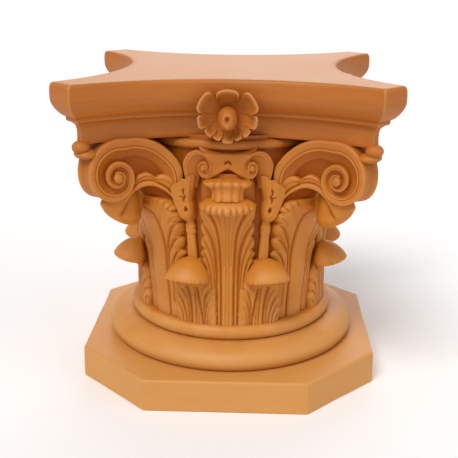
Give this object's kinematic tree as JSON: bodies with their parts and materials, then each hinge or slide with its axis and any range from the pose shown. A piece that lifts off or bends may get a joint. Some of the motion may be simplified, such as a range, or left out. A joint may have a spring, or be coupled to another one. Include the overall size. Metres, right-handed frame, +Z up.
{
  "type": "corinthian capital pedestal",
  "caption": "Low decorative pedestal: a Corinthian capital with acanthus leaves, scrolls and a hollow-sided abacus on round mouldings and a square plinth with cut corners.",
  "frame": {"origin": "centre of the plinth's underside, on the floor", "axes": "+Z up along the vertical axis, -Y out of the front face, +X to the right seen from the front; all four faces are alike"},
  "size_m": [0.4226, 0.4226, 0.42],
  "materials": {
    "terracotta_paint": "cast plaster under matt terracotta paint, smooth on the mouldings and brushed into the carving"
  },
  "bodies": {
    "root": {"corinthian_capital": "terracotta_paint"}
  },
  "joints": []
}
